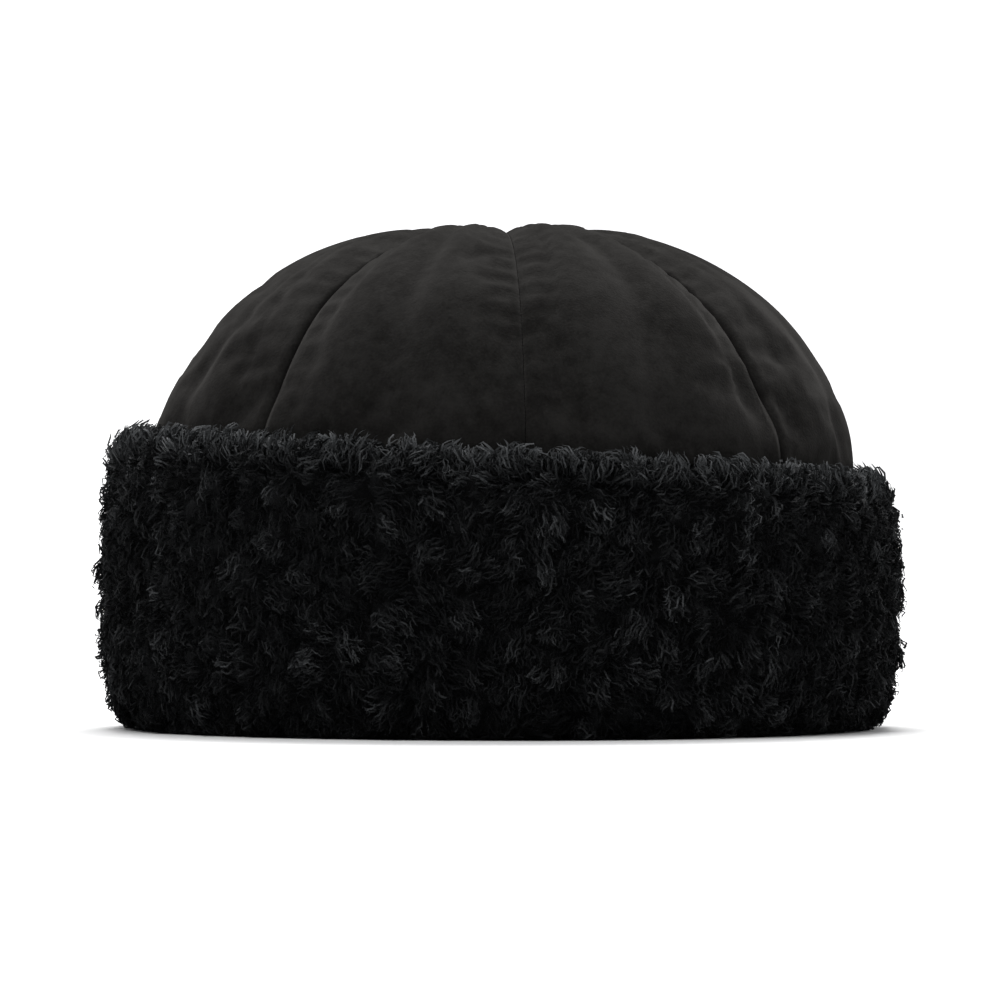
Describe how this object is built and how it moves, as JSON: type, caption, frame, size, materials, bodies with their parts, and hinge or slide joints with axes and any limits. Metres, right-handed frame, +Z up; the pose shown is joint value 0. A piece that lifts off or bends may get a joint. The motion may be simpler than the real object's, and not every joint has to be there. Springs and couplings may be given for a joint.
{
  "type": "sheepskin hat",
  "caption": "Round sheepskin hat with a domed crown of sewn suede gores and a deep cuff turned up so that its curly wool shows outside, open below for the head.",
  "frame": {"origin": "middle of the hat's box at its bottom, on the surface that the fold of the cuff rests on", "axes": "+Z up through the crown, -Y towards the front of the hat, +X to the right seen from the front"},
  "size_m": [0.2361, 0.2643, 0.143],
  "materials": {
    "crown_suede": "matt black suede, a soft nap with warm grey lights",
    "cuff_hide": "matt black suede",
    "cuff_wool": "black shorn sheep's wool in small curly locks, soft sheen",
    "lining_wool": "black short sheep's wool, pressed flatter than the cuff's"
  },
  "bodies": {
    "root": {"crown_gore_1": "crown_suede", "crown_gore_2": "crown_suede", "crown_gore_3": "crown_suede", "crown_gore_4": "crown_suede", "crown_gore_5": "crown_suede", "crown_gore_6": "crown_suede", "crown_gore_7": "crown_suede", "crown_gore_8": "crown_suede", "crown_lining_wool": "lining_wool", "cuff_skin": "cuff_hide", "cuff_wool": "cuff_wool"}
  },
  "joints": []
}
